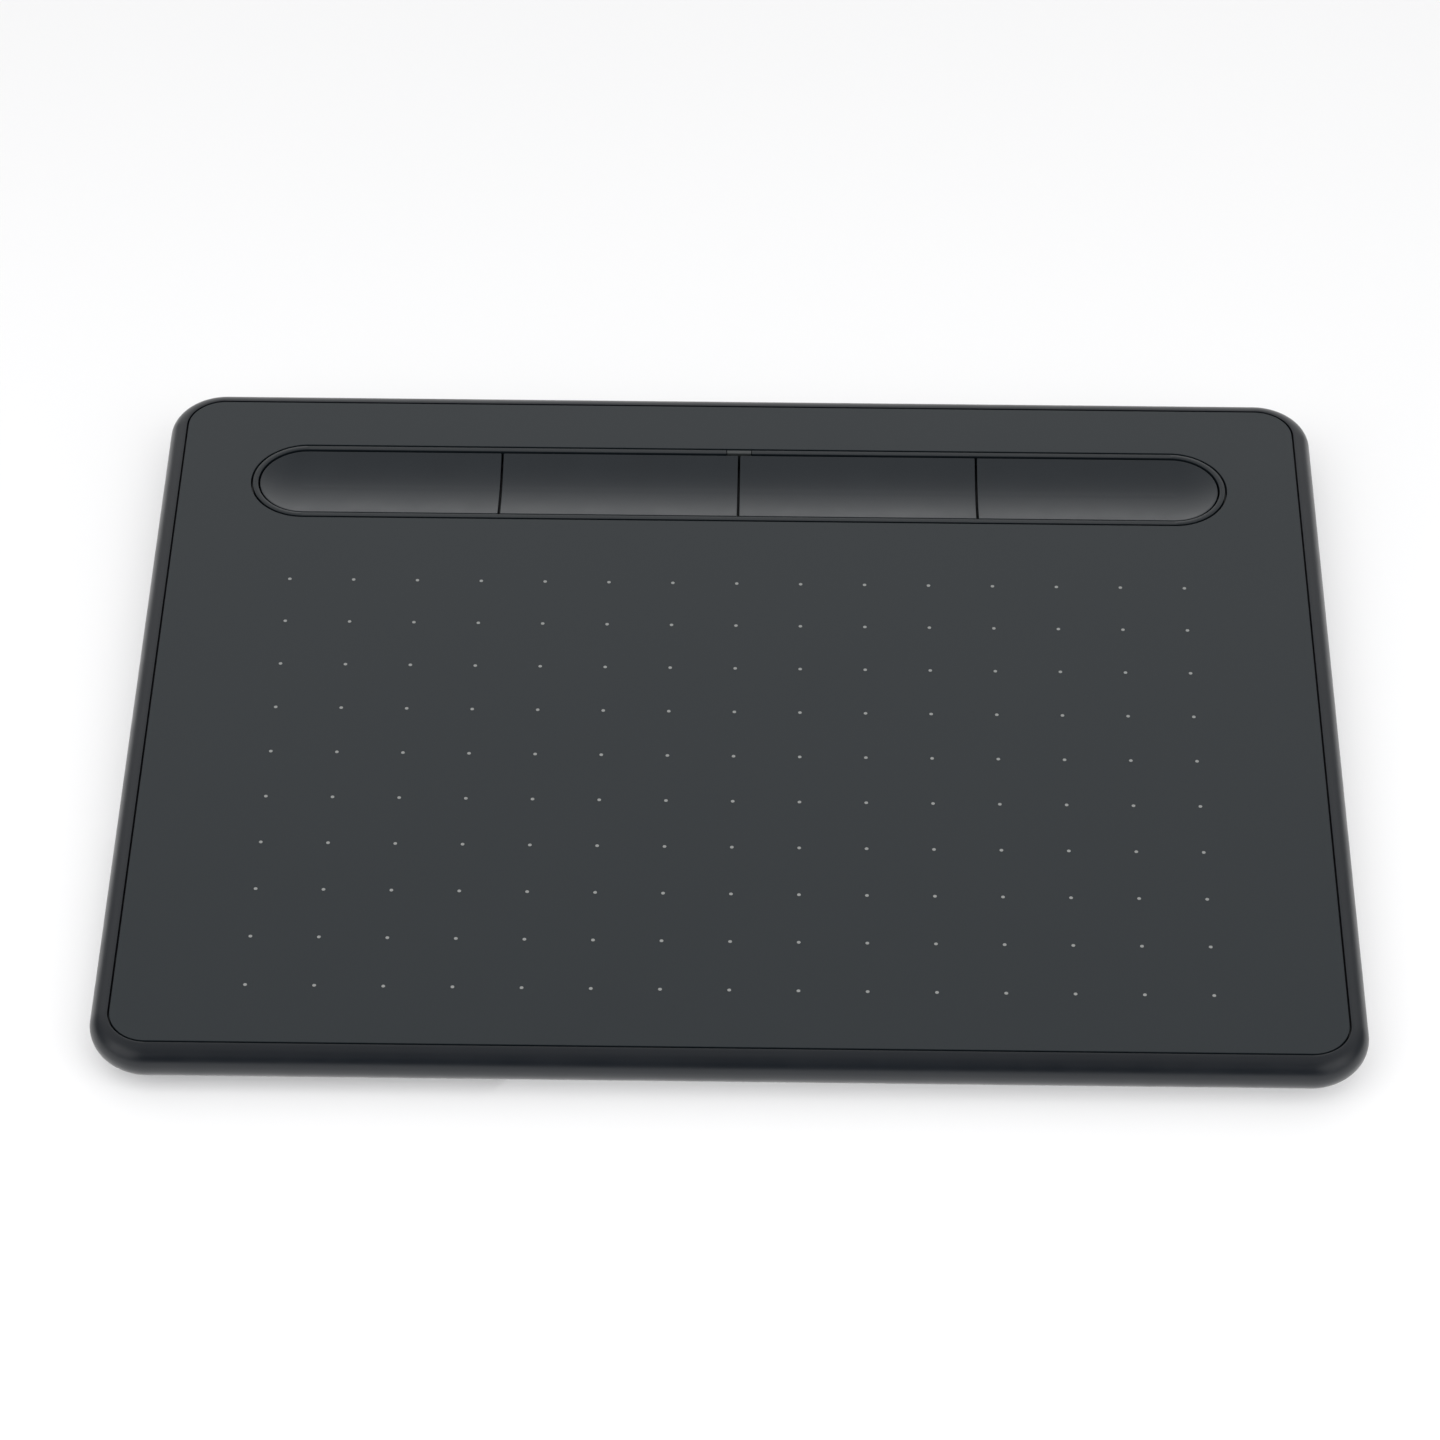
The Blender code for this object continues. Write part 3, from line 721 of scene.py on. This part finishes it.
def dish_rings():
    """A key's outer wall, then its dish: the same arc at the sides and round the ends."""
    rings = [tray_outline(KEY_R, KEY_BASE), tray_outline(KEY_R, KEY_TOP)]
    for step in range(1, DISH_STEPS):
        radius = KEY_R * (1 - step / DISH_STEPS)
        rings.append(tray_outline(radius, KEY_TOP - DISH_DEPTH * (1 - (radius / KEY_R) ** 2)))
    return rings


def make_key(number):
    """One dished key with eased edges, its retaining lugs and its plunger."""
    node = f"shortcut_key_{number}"
    low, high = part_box(node)
    key = loft(f"key_cap_{number}", dish_rings())
    margin = Vector((1 * MM, 0, 0))
    span_low = Vector((low.x, TRAY_Y - 10 * MM, KEY_BASE - 1 * MM))
    span_high = Vector((high.x, TRAY_Y + 10 * MM, KEY_TOP + 1 * MM))
    if number == 1:
        span_low -= margin
    if number == 4:
        span_high += margin
    combine(key, block("span", span_low, span_high), "INTERSECT")
    ease_edges(key, KEY_EDGE, KEY_EDGE_STEPS)
    middle = (low.x + high.x) / 2
    lug_low = (middle - LUG_HALF, low.y, KEY_BASE + 0.05 * MM)
    lug_high = (middle + LUG_HALF, high.y, LUG_TOP)
    combine(key, block("lugs", lug_low, lug_high), "UNION")
    at = (middle, TRAY_Y)
    heights = (low.z, KEY_BASE + 0.3 * MM)
    combine(key, loft("plunger", [circle(PLUNGER_R, z, at) for z in heights]), "UNION")
    place(key, f"key_{number}", MATERIALS["key"], "key_plastic", node)


def make_foot(node):
    """A rubber pad with a rolled lower edge."""
    low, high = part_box(node)
    half = (high - low) / 2
    at = spot(low, high)
    rings = []
    for step in range(FOOT_EDGE_STEPS + 1):
        angle = math.pi / 2 * step / FOOT_EDGE_STEPS
        inset = FOOT_EDGE * (1 - math.sin(angle))
        z = low.z + FOOT_EDGE * (1 - math.cos(angle))
        rings.append(rounded_outline(half.x - inset, half.y - inset, half.y - inset, z, 16, at))
    rings.append(rounded_outline(half.x, half.y, half.y, high.z, 16, at))
    foot = loft(node + "_pad", rings)
    place(foot, "chassis", MATERIALS["rubber"], "foot_rubber", node)


def cross_outline(half, arm, z, at):
    """The plus shape of a cross recess."""
    quarter = ((half, -arm), (half, arm), (arm, arm))
    turns = [Matrix.Rotation(math.pi / 2 * turn, 2) for turn in range(4)]
    outline = [turn @ Vector(corner) for turn in turns for corner in quarter]
    return [Vector((at[0] + point.x, at[1] + point.y, z)) for point in outline]


def make_screw(number):
    """A pan-head screw with a tapered cross recess and a ridged shank."""
    node = f"case_screw_{number}"
    low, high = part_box(node)
    at = spot(low, high)
    head = (high.x - low.x) / 2
    under = low.z + HEAD_HEIGHT
    profile = [
        (head * 0.72, low.z),
        (head * 0.92, low.z + 0.12 * MM),
        (head, low.z + 0.35 * MM),
        (head, under),
        (SHANK_R, under),
    ]
    z = under
    while z + THREAD_PITCH < high.z:
        profile += [(SHANK_ROOT_R, z + THREAD_PITCH / 4), (SHANK_R, z + THREAD_PITCH * 3 / 4)]
        z += THREAD_PITCH
    profile.append((0.7 * MM, high.z))
    screw = loft(f"screw_{number}", [circle(r, z, at, 10) for r, z in profile])
    recess = (
        cross_outline(1.25 * MM, 0.34 * MM, low.z - 0.2 * MM, at),
        cross_outline(0.55 * MM, 0.16 * MM, low.z + 0.6 * MM, at),
    )
    cut(screw, loft("recess", recess))
    place(screw, "chassis", MATERIALS["black_steel"], "screw_steel", node)


def make_socket_shell():
    """The folded steel shell, open to the rear."""
    low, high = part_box("usb_socket_shell")
    fold = 0.08 * MM
    sections = (
        (0, low.y),
        (0, high.y - 0.15 * MM),
        (-fold, high.y),
        (-SOCKET_WALL + fold, high.y),
        (-SOCKET_WALL, high.y - 0.12 * MM),
        (-SOCKET_WALL, low.y + SOCKET_WALL),
    )
    shell = loft("socket_shell", [socket_section(grow, y) for grow, y in sections])
    place(shell, "chassis", MATERIALS["steel"], "plated_steel", "usb_socket_shell")


def make_socket_tongue():
    """The plastic tongue and the contacts under it."""
    low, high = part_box("usb_socket_tongue")
    tongue = block("socket_tongue", low, high)
    ease_edges(tongue, 0.12 * MM, 2)
    place(tongue, "chassis", MATERIALS["nylon"], "socket_tongue", "usb_socket_tongue")
    for number in range(CONTACTS):
        x = (number - (CONTACTS - 1) / 2) * CONTACT_PITCH
        contact_low = (x - CONTACT_HALF, low.y + 0.4 * MM, low.z - 0.08 * MM)
        contact_high = (x + CONTACT_HALF, high.y - 0.35 * MM, low.z + 0.05 * MM)
        contact = block(f"socket_contact_{number + 1}", contact_low, contact_high)
        ease_edges(contact, 0.03 * MM, 1)
        place(contact, "chassis", MATERIALS["gold"], "plated_steel")


INNER_FINISHES = {
    "key_base": "frame",
    "support_frame": "frame",
    "digitizer_board": "sensor_board",
    "shield_sheet": "foil",
    "key_switch_board": "board",
    "control_board": "board",
    "controller_chip": "nylon",
    "pen_signal_chip": "nylon",
    "crystal": "steel",
    "status_led": "led",
    "key_connector": "connector",
    "sensor_connector": "connector",
    "sensor_ribbon": "ribbon",
    "key_ribbon": "ribbon",
}


def finish_inner_nodes():
    """Give the CAD nodes inside the case their materials."""
    finishes = dict(INNER_FINISHES)
    for number in range(1, 5):
        finishes[f"switch_body_{number}"] = "nylon"
        finishes[f"switch_button_{number}"] = "connector"
    for name, finish in finishes.items():
        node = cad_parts[name]
        node.data.materials.clear()
        node.data.materials.append(MATERIALS[finish])


# ---------------------------------------------------------------- studio


def mix_shaders(shader, factor, first, second):
    """One surface where factor is 0 and the other where it is 1."""
    mix = shader.nodes.new("ShaderNodeMixShader")
    shader.links.new(factor, mix.inputs["Fac"])
    shader.links.new(first, mix.inputs[1])
    shader.links.new(second, mix.inputs[2])
    return mix.outputs["Shader"]


def make_floor():
    """A plain pale table top, seen only from above, which glossy surfaces mirror as evenly lit."""
    bm = bmesh.new()
    bmesh.ops.create_grid(bm, x_segments=1, y_segments=1, size=6.0)
    floor = new_piece("table_top", bm)
    shader = Shader("table_paper", (0.86, 0.86, 0.865), 0.9, specular=0.1)
    shader.vary_colour(shader.noise(0.35, 2), (0.875, 0.873, 0.877))
    glow = shader.nodes.new("ShaderNodeEmission")
    glow.inputs["Strength"].default_value = TABLE_GLOW
    clear = shader.nodes.new("ShaderNodeBsdfTransparent")
    path = shader.nodes.new("ShaderNodeLightPath")
    side = shader.nodes.new("ShaderNodeNewGeometry")
    paper = shader.surface.outputs["BSDF"]
    above = mix_shaders(shader, path.outputs["Is Glossy Ray"], paper, glow.outputs["Emission"])
    both = mix_shaders(shader, side.outputs["Backfacing"], above, clear.outputs["BSDF"])
    shader.links.new(both, shader.nodes["Material Output"].inputs["Surface"])
    floor.data.materials.append(shader.material)
    return floor


def softbox(name, place_at, aim, side, radiance):
    """A large, square, soft light that the camera doesn't see."""
    light = bpy.data.lights.new(name, "AREA")
    light.shape = "SQUARE"
    light.size = side
    light.energy = radiance * math.pi * side ** 2
    lamp = bpy.data.objects.new(name, light)
    lamp.location = place_at
    lamp.rotation_euler = (Vector(aim) - Vector(place_at)).to_track_quat("-Z", "Y").to_euler()
    lamp.visible_camera = False
    bpy.context.scene.collection.objects.link(lamp)
    return lamp


def make_lights(floor):
    """Two softboxes beside the camera, and a wash over the table that casts no shadow of the tablet."""
    across, back, up = SOFTBOX_AT
    softbox("left_softbox", (-across, back, up), (0, 0, 0), SOFTBOX_SIDE, SOFTBOX_RADIANCE)
    softbox("right_softbox", (across, back, up), (0, 0, 0), SOFTBOX_SIDE, SOFTBOX_RADIANCE)
    wash = softbox("table_wash", WASH_AT, (*WASH_AT[:2], 0), WASH_SIDE, WASH_RADIANCE)
    table_only = bpy.data.collections.new("table_only")
    table_only.objects.link(floor)
    wash.light_linking.receiver_collection = table_only
    wash.light_linking.blocker_collection = table_only


def sky_ramp(nodes, links, elevation, stops):
    """Radiance against elevation in degrees, for one sector of the sky."""
    ramp = nodes.new("ShaderNodeValToRGB").color_ramp
    ramp.interpolation = "EASE"
    while len(ramp.elements) < len(stops):
        ramp.elements.new(0.5)
    for element, (degrees, radiance) in zip(ramp.elements, stops):
        element.position = degrees / 90
        value = radiance / SKY_STRENGTH
        element.color = (value, value, value, 1)
    node = nodes[-1]
    links.new(elevation, node.inputs["Fac"])
    return node.outputs["Color"]


def math_node(nodes, links, operation, first, second=None):
    """The output of a math node on one or two values."""
    node = nodes.new("ShaderNodeMath")
    node.operation = operation
    links.new(first, node.inputs[0])
    if second is not None:
        links.new(second, node.inputs[1])
    return node.outputs["Value"]


def faded(nodes, links, value, start, end):
    """0 up to start, rising smoothly to 1 at end."""
    node = nodes.new("ShaderNodeMapRange")
    node.interpolation_type = "SMOOTHSTEP"
    node.inputs["From Min"].default_value = start
    node.inputs["From Max"].default_value = end
    links.new(value, node.inputs["Value"])
    return node.outputs["Result"]


def blended(nodes, links, factor, first, second):
    """The mix of two colours."""
    node = nodes.new("ShaderNodeMix")
    node.data_type = "RGBA"
    links.new(factor, node.inputs["Factor"])
    links.new(first, node.inputs["A"])
    links.new(second, node.inputs["B"])
    return node.outputs["Result"]


def make_world():
    """A room: a bright wall low behind the table, a dimmer ceiling, and a dark side behind the camera."""
    world = bpy.data.worlds.new("room")
    bpy.context.scene.world = world
    world.use_nodes = True
    nodes = world.node_tree.nodes
    links = world.node_tree.links
    split = nodes.new("ShaderNodeSeparateXYZ")
    links.new(nodes.new("ShaderNodeTexCoord").outputs["Generated"], split.inputs["Vector"])
    height = math_node(nodes, links, "ARCSINE", split.outputs["Z"])
    elevation = nodes.new("ShaderNodeMapRange")
    elevation.inputs["From Max"].default_value = math.pi / 2
    links.new(height, elevation.inputs["Value"])
    turn = math_node(nodes, links, "ARCTAN2", split.outputs["X"], split.outputs["Y"])
    turn = math_node(nodes, links, "ABSOLUTE", turn)  # 0 to the rear, pi towards the camera
    rear, side, front = (sky_ramp(nodes, links, elevation.outputs["Result"], stops) for stops in SKY)
    to_side = faded(nodes, links, turn, *SIDE_FADE)
    to_front = faded(nodes, links, turn, *FRONT_FADE)
    sky = blended(nodes, links, to_side, rear, side)
    sky = blended(nodes, links, to_front, sky, front)
    background = nodes["Background"]
    background.inputs["Strength"].default_value = SKY_STRENGTH
    links.new(sky, background.inputs["Color"])


def make_camera():
    """A long lens that looks down at the front of the tablet."""
    data = bpy.data.cameras.new("camera")
    data.lens = LENS
    data.sensor_width = SENSOR
    camera = bpy.data.objects.new("camera", data)
    bpy.context.scene.collection.objects.link(camera)
    forward = Vector(
        (
            -math.sin(CAMERA_TURN) * math.cos(CAMERA_DOWN),
            math.cos(CAMERA_TURN) * math.cos(CAMERA_DOWN),
            -math.sin(CAMERA_DOWN),
        )
    )
    camera.rotation_mode = "QUATERNION"
    roll = Matrix.Rotation(CAMERA_ROLL, 3, "Z").to_quaternion()
    camera.rotation_quaternion = forward.to_track_quat("-Z", "Y") @ roll
    camera.location = CAMERA_AT
    bpy.context.scene.camera = camera


def main():
    """Dress the tablet, then set up the studio."""
    make_case()
    make_panel()
    make_dots()
    make_ring()
    make_window()
    for number in range(1, 5):
        make_key(number)
    for node in FEET:
        make_foot(node)
    for number in range(1, 7):
        make_screw(number)
    make_socket_shell()
    make_socket_tongue()
    finish_inner_nodes()
    make_world()
    make_lights(make_floor())
    make_camera()
    bpy.context.scene.view_settings.view_transform = "Standard"


main()
